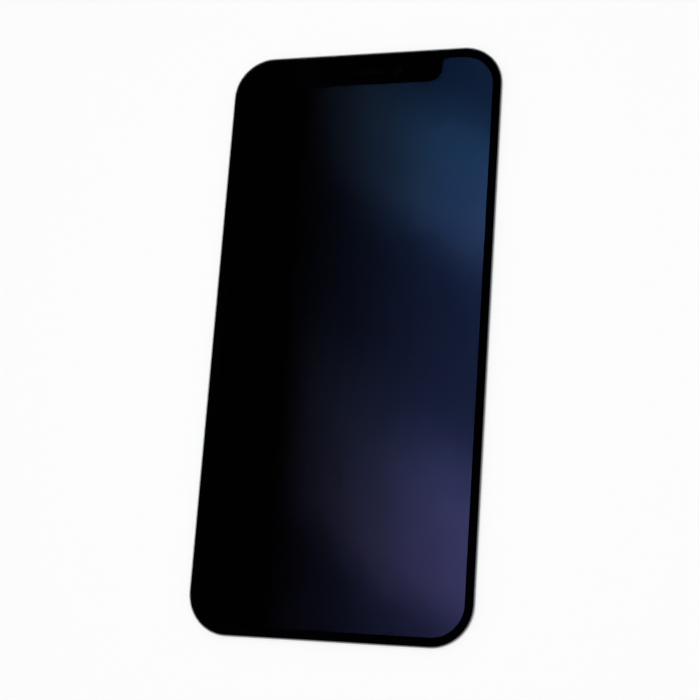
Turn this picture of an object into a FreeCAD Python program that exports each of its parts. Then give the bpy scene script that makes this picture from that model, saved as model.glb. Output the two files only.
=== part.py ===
import FreeCAD, Part
import Sketcher
import math
import os

# Privacy screen protector for a phone, lying glass side up, in millimetres.
# It is a laminate: glass, a black printed border, a bonding layer, a louvre film and an adhesive.
# X runs across the sheet, Y along it towards the notch, and Z up from the adhesive face.
# The origin is in the middle of that face.

SIZES = {
    # Cover glass, with a wide polished round on its upper edge and a fine arris on its lower edge
    "glass_width": 69.0,
    "glass_length": 143.8,
    "glass_corner_radius": 10.0,
    "glass_thickness": 0.33,
    "edge_round_width": 0.8,
    "edge_round_drop": 0.22,
    "edge_arris": 0.03,
    # Black border, measured from the edge of the glass
    "print_inset": 0.2,
    "print_thickness": 0.02,
    "border_width": 2.35,
    # Notch in the border, and the clear openings in it
    "notch_width": 38.6,
    "notch_depth": 5.85,
    "notch_corner_radius": 3.2,
    "notch_shoulder_radius": 1.2,
    "opening_distance": 4.9,
    "camera_opening": 2.4,
    "camera_offset": 8.1,
    "earpiece_length": 8.6,
    "earpiece_width": 1.6,
    # Layers under the print, which stop short of the edge of the glass
    "layer_inset": 0.3,
    "bond_thickness": 0.02,
    "adhesive_thickness": 0.05,
    # Louvre film: slats that taper downwards, sealed between two skins and inside a plain margin
    "film_skin": 0.03,
    "louvre_height": 0.29,
    "louvre_width": 0.036,
    "louvre_pitch": 0.128,
    "louvre_margin": 0.3,
}

# Thickness of the film, and heights of the layers' lower faces above the adhesive face
FILM_THICKNESS = "(sizes.louvre_height + 2 * sizes.film_skin)"
FILM_BASE = "sizes.adhesive_thickness"
BOND_BASE = f"{FILM_BASE} + {FILM_THICKNESS}"
PRINT_BASE = f"{BOND_BASE} + sizes.bond_thickness"
GLASS_BASE = f"{PRINT_BASE} + sizes.print_thickness"

# Distances along the sheet from its middle, and between the middles of the earpiece slot's ends
WINDOW_TOP = "sizes.glass_length / 2 - sizes.border_width"
PRINT_TOP = "sizes.glass_length / 2 - sizes.print_inset"
NOTCH_BOTTOM = f"{WINDOW_TOP} - sizes.notch_depth"
OPENING_HEIGHT = "sizes.glass_length / 2 - sizes.opening_distance"
EARPIECE_SPAN = "sizes.earpiece_length - sizes.earpiece_width"

# How near a point has to be to the place where it is looked for
SAME_PLACE = 1e-4

UP = FreeCAD.Vector(0, 0, 1)

doc = FreeCAD.newDocument("privacy_screen_protector")
sheet = doc.addObject("Spreadsheet::Sheet", "sizes")
for row, (alias, size) in enumerate(SIZES.items(), start=1):
    sheet.set(f"A{row}", alias)
    sheet.set(f"B{row}", str(size))
    sheet.setAlias(f"B{row}", alias)
doc.recompute()


def value(expression):
    """What an expression on the sheet comes to."""
    return float(sheet.evalExpression(expression))


def origin_plane(body, role):
    """The plane of the body's own origin that has this role."""
    return next(item for item in body.Origin.OriginFeatures if item.Role == role)


def new_sketch(body, name, role="XY_Plane"):
    sketch = body.newObject("Sketcher::SketchObject", name)
    sketch.AttachmentSupport = [(origin_plane(body, role), "")]
    sketch.MapMode = "FlatFace"
    return sketch


def tie(sketch, kind, *points):
    """Adds a geometric constraint to the sketch."""
    sketch.addConstraint(Sketcher.Constraint(kind, *points))


def bind(sketch, name, kind, points, expression):
    """Adds a dimension to the sketch and binds it to the sheet."""
    index = sketch.addConstraint(Sketcher.Constraint(kind, *points, value(expression)))
    sketch.renameConstraint(index, name)
    sketch.setExpression(f"Constraints.{name}", expression)


def box_outline(sketch, left, right, bottom, top):
    """Four sides joined end to end, the lower one first, all level or upright but for the lower one."""
    corners = [(left, bottom), (right, bottom), (right, top), (left, top)]
    points = [FreeCAD.Vector(across, along, 0) for across, along in corners]
    for start, end in zip(points, points[1:] + points[:1]):
        sketch.addGeometry(Part.LineSegment(start, end))
    for side in range(len(points)):
        tie(sketch, "Coincident", side, 2, (side + 1) % len(points), 1)
    tie(sketch, "Vertical", 1)
    tie(sketch, "Horizontal", 2)
    tie(sketch, "Vertical", 3)


def rectangle(sketch, width, length):
    """A rectangle about the sketch's origin."""
    across = value(width) / 2
    along = value(length) / 2
    box_outline(sketch, -across, across, -along, along)
    tie(sketch, "Horizontal", 0)
    tie(sketch, "Symmetric", 0, 1, 1, 2, -1, 1)
    bind(sketch, "width", "DistanceX", (0, 1, 0, 2), width)
    bind(sketch, "length", "DistanceY", (1, 1, 1, 2), length)


def pad(body, sketch, name, height):
    feature = body.newObject("PartDesign::Pad", name)
    feature.Profile = sketch
    feature.setExpression("Length", height)
    doc.recompute()
    return feature


def cut_through(body, sketch, name):
    """A pocket upwards from the body's own base plane, through all of the layer."""
    feature = body.newObject("PartDesign::Pocket", name)
    feature.Profile = sketch
    feature.Type = "ThroughAll"
    feature.Reversed = True
    doc.recompute()
    return feature


def upright_edges(feature, across, along):
    """Names of the upright edges that stand at plus or minus across, at this distance along."""
    names = []
    for number, edge in enumerate(feature.Shape.Edges, start=1):
        first = edge.Vertexes[0].Point
        last = edge.Vertexes[-1].Point
        upright = math.hypot(first.x - last.x, first.y - last.y) < SAME_PLACE
        in_place = math.hypot(abs(first.x) - across, first.y - along) < SAME_PLACE
        if upright and in_place:
            names.append(f"Edge{number}")
    return names


def level_edges(feature, height):
    """Names of the edges that lie at this height."""
    names = []
    for number, edge in enumerate(feature.Shape.Edges, start=1):
        if all(abs(vertex.Z - height) < SAME_PLACE for vertex in edge.Vertexes):
            names.append(f"Edge{number}")
    return names


def fillet(body, base, name, edges, radius):
    feature = body.newObject("PartDesign::Fillet", name)
    feature.Base = (base, edges)
    feature.setExpression("Radius", radius)
    doc.recompute()
    return feature


def sharp_plate(body, inset, thickness):
    """A slab over the glass's width and length, drawn in by the inset."""
    outline = new_sketch(body, f"{body.Label}_outline")
    rectangle(outline, f"sizes.glass_width - 2 * {inset}", f"sizes.glass_length - 2 * {inset}")
    return pad(body, outline, f"{body.Label}_slab", thickness)


def round_corners(body, base, name, inset):
    """Rounds the four upright edges of an outline that is drawn in from the glass's by the inset."""
    across = value(f"sizes.glass_width / 2 - {inset}")
    along = value(f"sizes.glass_length / 2 - {inset}")
    edges = upright_edges(base, across, along) + upright_edges(base, across, -along)
    return fillet(body, base, name, edges, f"sizes.glass_corner_radius - {inset}")


def rounded_plate(label, inset, thickness, base):
    """A sheet with the outline of the glass, drawn in by the inset."""
    body = doc.addObject("PartDesign::Body", label)
    slab = sharp_plate(body, inset, thickness)
    round_corners(body, slab, f"{label}_corners", inset)
    body.setExpression("Placement.Base.z", base)
    return body


def boolean(kind, label, base, tool):
    """A Part boolean of two solids, which stays tied to them."""
    result = doc.addObject(f"Part::{kind}", label)
    result.Base = base
    result.Tool = tool
    doc.recompute()
    return result


def edge_waste(body):
    """What is ground off the glass's upper edge: a corner and an arc that meets the top face smoothly."""
    width = value("sizes.edge_round_width")
    drop = value("sizes.edge_round_drop")
    radius = (width ** 2 + drop ** 2) / (2 * drop)
    corner = FreeCAD.Vector(value("sizes.glass_width / 2"), value("sizes.glass_thickness"), 0)
    inner = corner - FreeCAD.Vector(width, 0, 0)
    lower = corner - FreeCAD.Vector(0, drop, 0)
    circle = Part.Circle(inner - FreeCAD.Vector(0, radius, 0), UP, radius)
    sketch = new_sketch(body, "edge_waste", "XZ_Plane")
    level = sketch.addGeometry(Part.LineSegment(inner, corner))
    upright = sketch.addGeometry(Part.LineSegment(corner, lower))
    arc = sketch.addGeometry(Part.ArcOfCircle(circle, math.acos(width / radius), math.pi / 2))
    tie(sketch, "Coincident", level, 2, upright, 1)
    tie(sketch, "Coincident", upright, 2, arc, 1)
    tie(sketch, "Tangent", arc, 2, level, 1)
    tie(sketch, "Horizontal", level)
    tie(sketch, "Vertical", upright)
    bind(sketch, "edge", "DistanceX", (-1, 1, upright, 1), "sizes.glass_width / 2")
    bind(sketch, "top", "DistanceY", (-1, 1, upright, 1), "sizes.glass_thickness")
    bind(sketch, "round_width", "DistanceX", (level, 1, level, 2), "sizes.edge_round_width")
    bind(sketch, "round_drop", "DistanceY", (upright, 2, upright, 1), "sizes.edge_round_drop")
    return sketch


def cover_glass():
    """The glass plate, its upper edge ground to a wide round and its lower edge to a fine arris."""
    body = rounded_plate("cover_glass", "0", "sizes.glass_thickness", GLASS_BASE)
    plate = body.Tip
    ground = body.newObject("PartDesign::SubtractivePipe", "edge_round")
    ground.Profile = edge_waste(body)
    ground.Spine = (plate, level_edges(plate, value("sizes.glass_thickness")))
    doc.recompute()
    arris = body.newObject("PartDesign::Chamfer", "edge_arris")
    arris.Base = (ground, level_edges(ground, 0))
    arris.setExpression("Size", "sizes.edge_arris")
    doc.recompute()
    return body


def notch_tab(body):
    """A rectangle about the Y axis, from the bottom of the notch up to the print's edge."""
    side = value("sizes.notch_width / 2")
    sketch = new_sketch(body, "notch_outline")
    box_outline(sketch, -side, side, value(NOTCH_BOTTOM), value(PRINT_TOP))
    tie(sketch, "Symmetric", 0, 1, 0, 2, -2)
    bind(sketch, "width", "DistanceX", (0, 1, 0, 2), "sizes.notch_width")
    bind(sketch, "bottom", "DistanceY", (-1, 1, 1, 1), NOTCH_BOTTOM)
    bind(sketch, "top", "DistanceY", (-1, 1, 1, 2), PRINT_TOP)
    return sketch


def camera_circle(sketch):
    """The round opening for the camera, on the right of the middle."""
    middle = FreeCAD.Vector(value("sizes.camera_offset"), value(OPENING_HEIGHT), 0)
    circle = sketch.addGeometry(Part.Circle(middle, UP, value("sizes.camera_opening / 2")))
    bind(sketch, "camera_offset", "DistanceX", (-1, 1, circle, 3), "sizes.camera_offset")
    bind(sketch, "camera_height", "DistanceY", (-1, 1, circle, 3), OPENING_HEIGHT)
    bind(sketch, "camera_diameter", "Diameter", (circle,), "sizes.camera_opening")


def earpiece_slot(sketch):
    """The round-ended opening for the earpiece and sensors, about the Y axis."""
    radius = value("sizes.earpiece_width / 2")
    quarter = math.pi / 2
    right_middle = FreeCAD.Vector(value(EARPIECE_SPAN) / 2, value(OPENING_HEIGHT), 0)
    left_middle = right_middle - FreeCAD.Vector(value(EARPIECE_SPAN), 0, 0)
    right_circle = Part.Circle(right_middle, UP, radius)
    left_circle = Part.Circle(left_middle, UP, radius)
    rise = FreeCAD.Vector(0, radius, 0)
    right = sketch.addGeometry(Part.ArcOfCircle(right_circle, -quarter, quarter))
    upper = sketch.addGeometry(Part.LineSegment(right_middle + rise, left_middle + rise))
    left = sketch.addGeometry(Part.ArcOfCircle(left_circle, quarter, 3 * quarter))
    lower = sketch.addGeometry(Part.LineSegment(left_middle - rise, right_middle - rise))
    for before, after in ((right, upper), (upper, left), (left, lower), (lower, right)):
        tie(sketch, "Tangent", before, 2, after, 1)
    tie(sketch, "Equal", right, left)
    tie(sketch, "Symmetric", left, 3, right, 3, -2)
    bind(sketch, "earpiece_radius", "Radius", (right,), "sizes.earpiece_width / 2")
    bind(sketch, "earpiece_span", "DistanceX", (left, 3, right, 3), EARPIECE_SPAN)
    bind(sketch, "earpiece_height", "DistanceY", (-1, 1, right, 3), OPENING_HEIGHT)


def black_border():
    """The printed frame: a window with a notch at its top, and two clear openings in the notch."""
    body = doc.addObject("PartDesign::Body", "black_border")
    sharp_plate(body, "sizes.print_inset", "sizes.print_thickness")
    window = new_sketch(body, "window_outline")
    rectangle(window, "sizes.glass_width - 2 * sizes.border_width", f"2 * ({WINDOW_TOP})")
    frame = cut_through(body, window, "window")
    frame = round_corners(body, frame, "window_corners", "sizes.border_width")
    round_corners(body, frame, "outer_corners", "sizes.print_inset")
    notch = pad(body, notch_tab(body), "notch", "sizes.print_thickness")
    side = value("sizes.notch_width / 2")
    corners = upright_edges(notch, side, value(NOTCH_BOTTOM))
    notch = fillet(body, notch, "notch_corners", corners, "sizes.notch_corner_radius")
    shoulders = upright_edges(notch, side, value(WINDOW_TOP))
    fillet(body, notch, "notch_shoulders", shoulders, "sizes.notch_shoulder_radius")
    openings = new_sketch(body, "openings_outline")
    camera_circle(openings)
    earpiece_slot(openings)
    cut_through(body, openings, "openings")
    body.setExpression("Placement.Base.z", PRINT_BASE)
    return body


def bonding_layer(border):
    """The clear layer under the glass, which also fills the border's window and openings."""
    thickness = "sizes.bond_thickness + sizes.print_thickness"
    layer = rounded_plate("bonding_sheet", "sizes.layer_inset", thickness, BOND_BASE)
    return boolean("Cut", "bonding_layer", layer, border)


def slat(middle, reach):
    """One louvre: a wedge along Y, broad side up, that ends at plus and minus the reach."""
    half = value("sizes.louvre_width / 2")
    foot = value("sizes.film_skin")
    top = foot + value("sizes.louvre_height")
    section = [(middle - half, top), (middle, foot), (middle + half, top), (middle - half, top)]
    wire = Part.makePolygon([FreeCAD.Vector(across, -reach, height) for across, height in section])
    return Part.Face(wire).extrude(FreeCAD.Vector(0, 2 * reach, 0))


def louvres():
    """As many slats as fit across the film, each as long as its rounded outline and margin allow."""
    inset = "(sizes.layer_inset + sizes.louvre_margin)"
    pitch = value("sizes.louvre_pitch")
    radius = value(f"sizes.glass_corner_radius - {inset}")
    corner_across = value("sizes.glass_width / 2 - sizes.glass_corner_radius")
    corner_along = value("sizes.glass_length / 2 - sizes.glass_corner_radius")
    half = value("sizes.louvre_width / 2")
    room = value(f"sizes.glass_width - 2 * {inset} - sizes.louvre_width")
    count = math.floor(room / pitch) + 1
    slats = []
    for number in range(count):
        middle = (number - (count - 1) / 2) * pitch
        past_corner = max(abs(middle) + half - corner_across, 0)
        slats.append(slat(middle, corner_along + math.sqrt(max(radius ** 2 - past_corner ** 2, 0))))
    group = doc.addObject("Part::Feature", "louvres")
    group.Shape = Part.makeCompound(slats)
    group.Placement = FreeCAD.Placement(FreeCAD.Vector(0, 0, value(FILM_BASE)), FreeCAD.Rotation())
    return group


def privacy_film(slats):
    """The clear film, in one piece with the skins that seal the louvres in."""
    plate = rounded_plate("film_sheet", "sizes.layer_inset", FILM_THICKNESS, FILM_BASE)
    return boolean("Cut", "privacy_film", plate, slats)


glass = cover_glass()
border = black_border()
slats = louvres()
layers = [
    glass,
    border,
    bonding_layer(border),
    privacy_film(slats),
    slats,
    rounded_plate("adhesive_layer", "sizes.layer_inset", "sizes.adhesive_thickness", "0"),
]
doc.recompute()

for item in doc.Objects:
    if "Invalid" in item.State or "Error" in item.State:
        raise RuntimeError(f"{item.Label} did not build")
for layer in layers:
    if layer.Shape.isNull() or not layer.Shape.isValid():
        raise RuntimeError(f"{layer.Label} has no valid shape")

os.makedirs("parts", exist_ok=True)
for layer in layers:
    layer.Shape.exportStep(f"parts/{layer.Label}.step")
    print(layer.Label, len(layer.Shape.Solids), "solids", round(layer.Shape.Volume, 3), "mm3")
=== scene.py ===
import bpy
from mathutils import Matrix, Vector


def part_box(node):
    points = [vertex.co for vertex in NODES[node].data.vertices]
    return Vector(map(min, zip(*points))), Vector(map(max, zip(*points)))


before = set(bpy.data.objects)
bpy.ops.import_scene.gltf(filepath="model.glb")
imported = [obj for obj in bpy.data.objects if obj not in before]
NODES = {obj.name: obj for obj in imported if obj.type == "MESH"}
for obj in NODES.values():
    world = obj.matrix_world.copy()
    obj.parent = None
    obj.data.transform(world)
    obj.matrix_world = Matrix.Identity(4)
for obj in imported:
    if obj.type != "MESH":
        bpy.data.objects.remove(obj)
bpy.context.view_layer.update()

# Looks of a privacy screen protector that lies glass side up on a white table.
# Lengths are in metres, in the part's own frame: X across, Y towards the notch, Z up.

MM = 0.001
SCENE = bpy.context.scene
GLASS_LOW, GLASS_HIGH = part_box("cover_glass")
FILM_LOW, FILM_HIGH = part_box("privacy_film")

# Camera of the photograph, solved from the four corners of the sheet in it
CAMERA_PLACE = Vector((116.37, -84.87, 347.89)) * MM
CAMERA_RIGHT = Vector((0.95148, 0.07041, -0.29954))
CAMERA_UP = Vector((-0.00025, 0.97365, 0.22805))
CAMERA_BACK = Vector((0.30771, -0.21691, 0.92643))
CAMERA_LENS = 81.36

# Studio: soft panels round the walls and a dark ceiling, so that the flat glass mirrors nothing bright.
# The camera sees plain white in its place, and glass shows that white as far as the backdrop's top.
# Heights are sines of the angle above the horizon.
BACKGROUND = (0.975, 0.975, 0.975, 1.0)
BACKDROP_FADE = 0.06
BACKDROP_TOP = 0.20
HORIZON_LIGHT = (1.0, 1.0, 1.0, 1.0)
HORIZON_SHADE = (0.3, 0.3, 0.31, 1.0)
HORIZON_TOP = 0.28
WALL_LIGHT = (0.5, 0.5, 0.5, 1.0)
WALL_SHADE = (0.06, 0.06, 0.065, 1.0)
WALL_FOOT = 0.40
WALL_TOP = 0.57
WALL_PANELS = 4.0
CEILING_LIGHT = (0.008, 0.008, 0.009, 1.0)
CEILING_EDGE = 0.80

# One softbox overhead, which no mirror shows
SOFTBOX_HEIGHT = 1.5
SOFTBOX_WIDTH = 0.75
SOFTBOX_LENGTH = 1.4
SOFTBOX_WATTS = 23.0

# The table, a hair under the adhesive. It is lit near the sheet and plain white far from it.
TABLE_GAP = 0.01 * MM
TABLE_REACH = 6.0
TABLE_COLOUR = (0.93, 0.93, 0.93, 1.0)
LIT_REACH = 0.14
WHITE_REACH = 0.42

# Clouds, lines, smears, mottle and grain are noise, with so many to a metre along each axis.
# Detail is how finely the noise breaks up, and a span is the part of its range that is used.
SOFT_DETAIL = 1.0
LINE_DETAIL = 2.0
FILM_DETAIL = 3.0
FINE_DETAIL = 4.0

# What the coating lets through on one crossing: it drifts from violet at the foot to blue at the notch,
# with clouds added to the drift, and is greyer on the left than on the right
COAT_FOOT_END = (0.49, 0.48, 0.81, 1.0)
COAT_NOTCH_END = (0.28, 0.50, 0.79, 1.0)
DRIFT_AT_FOOT = -0.3
DRIFT_AT_NOTCH = 0.8
DRIFT_CLOUDS = (24.0, 16.0, 0.0)
DRIFT_CLOUD_SHARE = 0.5
COAT_GREY = (0.48, 0.47, 0.49, 1.0)
GREY_SIDE = -14.0 * MM
BLUE_SIDE = 26.0 * MM
GREY_SHARE = 0.55

# Slant bands painted into the coating's colour as a sheen: a wave of so many radians to a metre along
# each axis, shifted by clouds.
# A band is darkest at one height of the wave and has faded out at another.
SHEEN_BAND_SHADE = (0.10, 0.14, 0.26, 1.0)
BAND_TURNS = (58.0, 84.0, 0.0)
BAND_START = 1.6
BAND_CLOUDS = (15.0, 11.0, 0.0)
BAND_WANDER = 4.0
BAND_DARKEST = -1.0
BAND_FADED = 0.9
BAND_SHARE = 0.6

# Fine lines along the sheet, as on drawn film
COAT_DRAWN = (0.16, 0.20, 0.42, 1.0)
DRAWN_LINES = (900.0, 6.0, 0.0)
DRAWN_SPAN = (0.35, 0.65)
DRAWN_SHARE = 0.04

# Smoked patch of the coating over the openings in the black border: its reach in from the notch end,
# and to each side of the middle
COAT_SMOKED = (0.12, 0.12, 0.13, 1.0)
SMOKED_DEPTH = 6.9 * MM
SMOKED_SIDE = 11.0 * MM

# Gloss of the glass, from clean to smeared
GLASS_IOR = 1.5
GLOSS_COLOUR = (0.9, 0.93, 1.0, 1.0)
SMEARS = (120.0, 60.0, 60.0)
SMEAR_SPAN = (0.4, 0.7)
CLEAN_ROUGHNESS = 0.02
SMEARED_ROUGHNESS = 0.06

# A point this near to the top or the foot of the glass is on that face, and any other is on its edge
FACE_DEPTH = 0.002 * MM

# Edge of the glass: how far below the top it starts to look satin, and where it is wholly so. The pale
# satin layer is also a painted highlight line round the sheet.
# Colour that the rounded edge and side let through: painted shade, a grey standing in for the dark that
# refraction gives a glass edge
EDGE_PAINTED_SHADE = (0.42, 0.45, 0.47, 1.0)
EDGE_ROUGHNESS = 0.2
SATIN_AND_HIGHLIGHT_COLOUR = (0.7, 0.72, 0.74, 1.0)
SATIN_START = 0.06 * MM
SATIN_FULL = 0.12 * MM
SATIN_AND_HIGHLIGHT_SHARE = 0.22

# Clear adhesives and film, and black ink and resin, each mottled between two colours.
# The film is clear as deep as its skin at the top and the foot, and black where it is cut.
CLEAR = (1.0, 1.0, 1.0, 1.0)
ALMOST_CLEAR = (0.985, 0.985, 0.99, 1.0)
SILICONE_HAZE = (0.97, 0.975, 0.985, 1.0)
INK_DARK = (0.0008, 0.0008, 0.0009, 1.0)
INK_PALE = (0.0018, 0.0018, 0.002, 1.0)
CUT_FILM = (0.0012, 0.0012, 0.0014, 1.0)
FILM_SKIN = 0.005 * MM
MATT_ROUGHNESS = 0.8
MOTTLE_SPAN = (0.3, 0.7)
BOND_MOTTLE = (60.0, 60.0, 60.0)
SILICONE_MOTTLE = (90.0, 90.0, 90.0)
FILM_MOTTLE = (400.0, 40.0, 0.0)
BORDER_GRAIN = (900.0, 900.0, 0.0)
LOUVRE_GRAIN = (4000.0, 300.0, 4000.0)

# Most clear faces that a ray may cross: both faces of the four clear layers, on the way down and up,
# and as many to spare
CLEAR_FACES = 32


class Shading:
    """The node tree of one material or world, with short ways to add nodes to it."""

    def __init__(self, owner):
        owner.use_nodes = True
        self.owner = owner
        self.tree = owner.node_tree
        self.tree.nodes.clear()

    def feed(self, socket, source):
        """Links a socket to another, or sets its value."""
        if isinstance(source, bpy.types.NodeSocket):
            self.tree.links.new(source, socket)
        else:
            socket.default_value = source

    def add(self, kind, inputs, **settings):
        """A node of this kind, with its settings made and its inputs fed."""
        node = self.tree.nodes.new(kind)
        for name, setting in settings.items():
            setattr(node, name, setting)
        for key, source in inputs.items():
            self.feed(node.inputs[key], source)
        return node

    def place(self):
        """Where a point of the surface is in the part's frame."""
        return self.add("ShaderNodeTexCoord", {}).outputs["Object"]

    def along(self, vector, axis):
        return self.add("ShaderNodeSeparateXYZ", {"Vector": vector}).outputs[axis]

    def calc(self, operation, first, second=0.0):
        return self.add("ShaderNodeMath", {0: first, 1: second}, operation=operation).outputs[0]

    def noise(self, vector, per_metre, detail):
        """Cloudy noise between 0 and 1, with so many clouds to a metre along each axis."""
        spread = self.add("ShaderNodeVectorMath", {0: vector, 1: per_metre}, operation="MULTIPLY")
        inputs = {"Vector": spread.outputs["Vector"], "Scale": 1.0, "Detail": detail}
        return self.add("ShaderNodeTexNoise", inputs).outputs["Fac"]

    def span(self, source, low, high, to_low=0.0, to_high=1.0):
        """Takes the source from one span to another, smoothly and no further."""
        inputs = {"Value": source, "From Min": low, "From Max": high, "To Min": to_low, "To Max": to_high}
        return self.add("ShaderNodeMapRange", inputs, interpolation_type="SMOOTHSTEP").outputs["Result"]

    def blend(self, share, first, second):
        """A mix of two colours."""
        node = self.add("ShaderNodeMix", {0: share}, data_type="RGBA")
        colours = [socket for socket in node.inputs if socket.type == "RGBA"]
        for socket, source in zip(colours, (first, second)):
            self.feed(socket, source)
        return next(socket for socket in node.outputs if socket.type == "RGBA")

    def mottle(self, vector, per_metre, detail, first, second):
        """Two colours in clouds or grains."""
        clouds = self.span(self.noise(vector, per_metre, detail), *MOTTLE_SPAN)
        return self.blend(clouds, first, second)

    def seen(self, in_glass=1.0):
        """1 for rays from the camera, and this much for rays that gloss or glass sends on."""
        rays = self.add("ShaderNodeLightPath", {}).outputs
        sent_on = self.calc("MAXIMUM", rays["Is Glossy Ray"], rays["Is Transmission Ray"])
        return self.calc("MAXIMUM", rays["Is Camera Ray"], self.calc("MULTIPLY", sent_on, in_glass))

    def layered(self, share, first, second):
        """A mix of two shaders."""
        return self.add("ShaderNodeMixShader", {0: share, 1: first, 2: second}).outputs[0]

    def clear(self, colour):
        return self.add("ShaderNodeBsdfTransparent", {"Color": colour}).outputs[0]

    def diffuse(self, colour):
        return self.add("ShaderNodeBsdfDiffuse", {"Color": colour}).outputs[0]

    def matt(self, colour):
        """A surface with no gloss of its own, as ink and resin have where glass covers them."""
        inputs = {"Base Color": colour, "Roughness": MATT_ROUGHNESS, "Specular IOR Level": 0.0}
        return self.add("ShaderNodeBsdfPrincipled", inputs).outputs[0]

    def finish(self, shader):
        """The material, with this shader as its surface."""
        self.add("ShaderNodeOutputMaterial", {"Surface": shader})
        return self.owner


def new_shading(name):
    return Shading(bpy.data.materials.new(name))


def coating(made, place):
    """Colour that the coating passes, with its drift, a painted sheen of slant bands, fine lines and
    smoked patch.
    """
    across = made.along(place, "X")
    upward = made.along(place, "Y")
    cloud = made.calc("MULTIPLY", made.noise(place, DRIFT_CLOUDS, SOFT_DETAIL), DRIFT_CLOUD_SHARE)
    drift = made.span(upward, GLASS_LOW.y, GLASS_HIGH.y, DRIFT_AT_FOOT, DRIFT_AT_NOTCH)
    colour = made.blend(made.calc("ADD", drift, cloud), COAT_FOOT_END, COAT_NOTCH_END)
    grey = made.span(across, GREY_SIDE, BLUE_SIDE, GREY_SHARE, 0.0)
    colour = made.blend(grey, colour, COAT_GREY)

    # Painted sheen: slant dark bands in the tint with lighter ones between, as a sweep of light across
    # the glass
    wander = made.calc("MULTIPLY", made.noise(place, BAND_CLOUDS, SOFT_DETAIL), BAND_WANDER)
    turns = made.add("ShaderNodeVectorMath", {0: place, 1: BAND_TURNS}, operation="DOT_PRODUCT")
    turns = made.calc("ADD", turns.outputs["Value"], wander)
    wave = made.calc("SINE", made.calc("ADD", turns, BAND_START))
    band = made.span(wave, BAND_DARKEST, BAND_FADED, BAND_SHARE, 0.0)
    colour = made.blend(band, colour, SHEEN_BAND_SHADE)

    drawn = made.noise(place, DRAWN_LINES, LINE_DETAIL)
    drawn = made.span(drawn, *DRAWN_SPAN, 0.0, DRAWN_SHARE)
    colour = made.blend(drawn, colour, COAT_DRAWN)

    above = made.calc("GREATER_THAN", upward, GLASS_HIGH.y - SMOKED_DEPTH)
    between = made.calc("LESS_THAN", made.calc("ABSOLUTE", across), SMOKED_SIDE)
    return made.blend(made.calc("MULTIPLY", above, between), colour, COAT_SMOKED)


def coated_glass():
    """Polished glass with a coated top and a satin edge, whose pale layer is also a painted highlight
    line.
    """
    made = new_shading("coated_glass")
    place = made.place()
    height = made.along(place, "Z")
    on_top = made.calc("GREATER_THAN", height, GLASS_HIGH.z - FACE_DEPTH)
    above_foot = made.calc("GREATER_THAN", height, GLASS_LOW.z + FACE_DEPTH)
    # The rounded edge and side pass a grey that is painted shade for the glass edge's refraction
    tint = made.blend(on_top, EDGE_PAINTED_SHADE, coating(made, place))
    tint = made.blend(above_foot, CLEAR, tint)

    backfacing = made.add("ShaderNodeNewGeometry", {}).outputs["Backfacing"]
    outside = made.calc("MULTIPLY", made.calc("SUBTRACT", 1.0, backfacing), above_foot)
    edge = made.span(height, GLASS_HIGH.z - SATIN_FULL, GLASS_HIGH.z - SATIN_START, 1.0, 0.0)
    # Pale satin layer on the outer edge: a satin finish that is also a painted highlight line
    satin = made.calc("MULTIPLY", made.calc("MULTIPLY", edge, outside), SATIN_AND_HIGHLIGHT_SHARE)
    body = made.layered(satin, made.clear(tint), made.diffuse(SATIN_AND_HIGHLIGHT_COLOUR))

    smear = made.noise(place, SMEARS, FINE_DETAIL)
    smear = made.span(smear, *SMEAR_SPAN, CLEAN_ROUGHNESS, SMEARED_ROUGHNESS)
    roughness = made.calc("ADD", smear, made.calc("MULTIPLY", edge, EDGE_ROUGHNESS))
    gloss = made.add("ShaderNodeBsdfGlossy", {"Color": GLOSS_COLOUR, "Roughness": roughness}).outputs[0]
    mirror = made.add("ShaderNodeFresnel", {"IOR": GLASS_IOR}).outputs[0]
    return made.finish(made.layered(made.calc("MULTIPLY", mirror, outside), body, gloss))


def clear_layer(name, per_metre, haze):
    """A clear sheet of adhesive, very slightly mottled."""
    made = new_shading(name)
    return made.finish(made.clear(made.mottle(made.place(), per_metre, FINE_DETAIL, haze, CLEAR)))


def black_ink(name, per_metre):
    """Black ink or resin with a faint grain."""
    made = new_shading(name)
    return made.finish(made.matt(made.mottle(made.place(), per_metre, FINE_DETAIL, INK_DARK, INK_PALE)))


def louvre_film():
    """Clear resin on both skins, and black where it meets a louvre or is cut at the edge."""
    made = new_shading("louvre_film")
    place = made.place()
    middle = (FILM_LOW.z + FILM_HIGH.z) / 2
    from_middle = made.calc("ABSOLUTE", made.calc("SUBTRACT", made.along(place, "Z"), middle))
    at_skin = made.calc("GREATER_THAN", from_middle, FILM_HIGH.z - middle - FILM_SKIN)
    skin = made.clear(made.mottle(place, FILM_MOTTLE, FILM_DETAIL, ALMOST_CLEAR, CLEAR))
    return made.finish(made.layered(at_skin, made.matt(CUT_FILM), skin))


def dress(node, material):
    """Gives a CAD node its finished material."""
    slots = NODES[node].data.materials
    slots.clear()
    slots.append(material)


def table():
    """The white table that the sheet lies on."""
    mesh = bpy.data.meshes.new("table")
    reach = TABLE_REACH
    corners = [(-reach, -reach), (reach, -reach), (reach, reach), (-reach, reach)]
    mesh.from_pydata([(x, y, -TABLE_GAP) for x, y in corners], [], [range(len(corners))])
    made = new_shading("white_table")
    distance = made.add("ShaderNodeVectorMath", {0: made.place()}, operation="LENGTH").outputs["Value"]
    far = made.calc("MULTIPLY", made.span(distance, LIT_REACH, WHITE_REACH), made.seen())
    white = made.add("ShaderNodeEmission", {"Color": BACKGROUND, "Strength": 1.0}).outputs[0]
    mesh.materials.append(made.finish(made.layered(far, made.diffuse(TABLE_COLOUR), white)))
    board = bpy.data.objects.new("table", mesh)
    SCENE.collection.objects.link(board)


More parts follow.
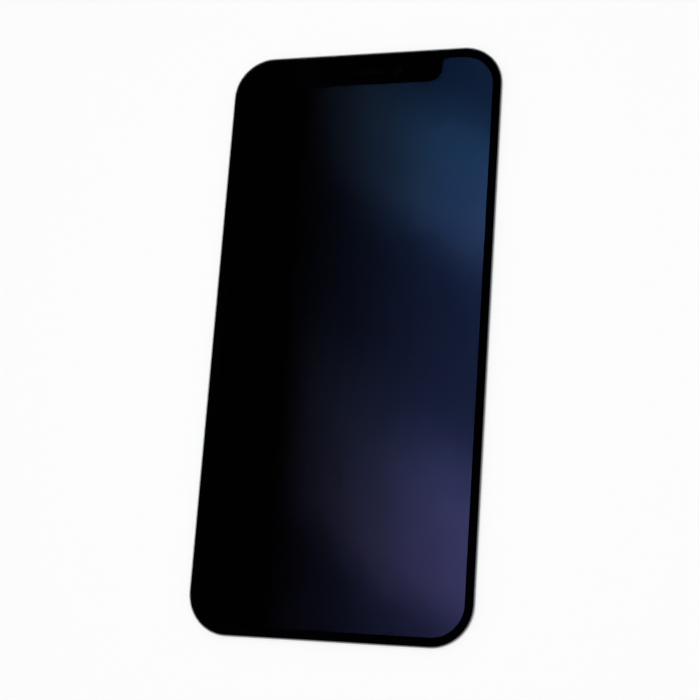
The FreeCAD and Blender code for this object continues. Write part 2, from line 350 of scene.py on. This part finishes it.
def studio():
    """Soft panels all round and a dark ceiling."""
    made = Shading(bpy.data.worlds.new("studio"))
    direction = made.add("ShaderNodeTexCoord", {}).outputs["Generated"]
    upward = made.along(direction, "Z")
    turn = made.calc("ARCTAN2", made.along(direction, "Y"), made.along(direction, "X"))
    panel = made.span(made.calc("SINE", made.calc("MULTIPLY", turn, WALL_PANELS)), -1.0, 1.0)
    horizon = made.blend(panel, HORIZON_SHADE, HORIZON_LIGHT)
    wall = made.blend(panel, WALL_SHADE, WALL_LIGHT)
    light = made.blend(made.span(upward, HORIZON_TOP, WALL_FOOT), horizon, wall)
    light = made.blend(made.span(upward, WALL_TOP, CEILING_EDGE), light, CEILING_LIGHT)
    backdrop = made.span(upward, BACKDROP_FADE, BACKDROP_TOP, 1.0, 0.0)
    light = made.blend(made.seen(backdrop), light, BACKGROUND)
    surface = made.add("ShaderNodeBackground", {"Color": light, "Strength": 1.0}).outputs[0]
    made.add("ShaderNodeOutputWorld", {"Surface": surface})
    SCENE.world = made.owner


def softbox():
    """One large lamp overhead that no mirror shows."""
    lamp = bpy.data.lights.new("softbox", "AREA")
    lamp.shape = "RECTANGLE"
    lamp.size = SOFTBOX_WIDTH
    lamp.size_y = SOFTBOX_LENGTH
    lamp.energy = SOFTBOX_WATTS
    hung = bpy.data.objects.new("softbox", lamp)
    hung.location = (0.0, 0.0, SOFTBOX_HEIGHT)
    hung.visible_glossy = False
    SCENE.collection.objects.link(hung)


def camera():
    """The camera of the photograph."""
    lens = bpy.data.cameras.new("camera")
    lens.lens = CAMERA_LENS
    lens.clip_start = MM
    eye = bpy.data.objects.new("camera", lens)
    turned = Matrix((CAMERA_RIGHT, CAMERA_UP, CAMERA_BACK)).transposed().to_4x4()
    eye.matrix_world = Matrix.Translation(CAMERA_PLACE) @ turned
    SCENE.collection.objects.link(eye)
    bpy.context.scene.camera = eye


dress("cover_glass", coated_glass())
dress("black_border", black_ink("border_ink", BORDER_GRAIN))
dress("bonding_layer", clear_layer("laminating_adhesive", BOND_MOTTLE, ALMOST_CLEAR))
dress("privacy_film", louvre_film())
dress("louvres", black_ink("louvre_black", LOUVRE_GRAIN))
dress("adhesive_layer", clear_layer("clear_silicone", SILICONE_MOTTLE, SILICONE_HAZE))

table()
studio()
softbox()
camera()

SCENE.view_settings.view_transform = "Standard"
SCENE.cycles.transparent_max_bounces = CLEAR_FACES
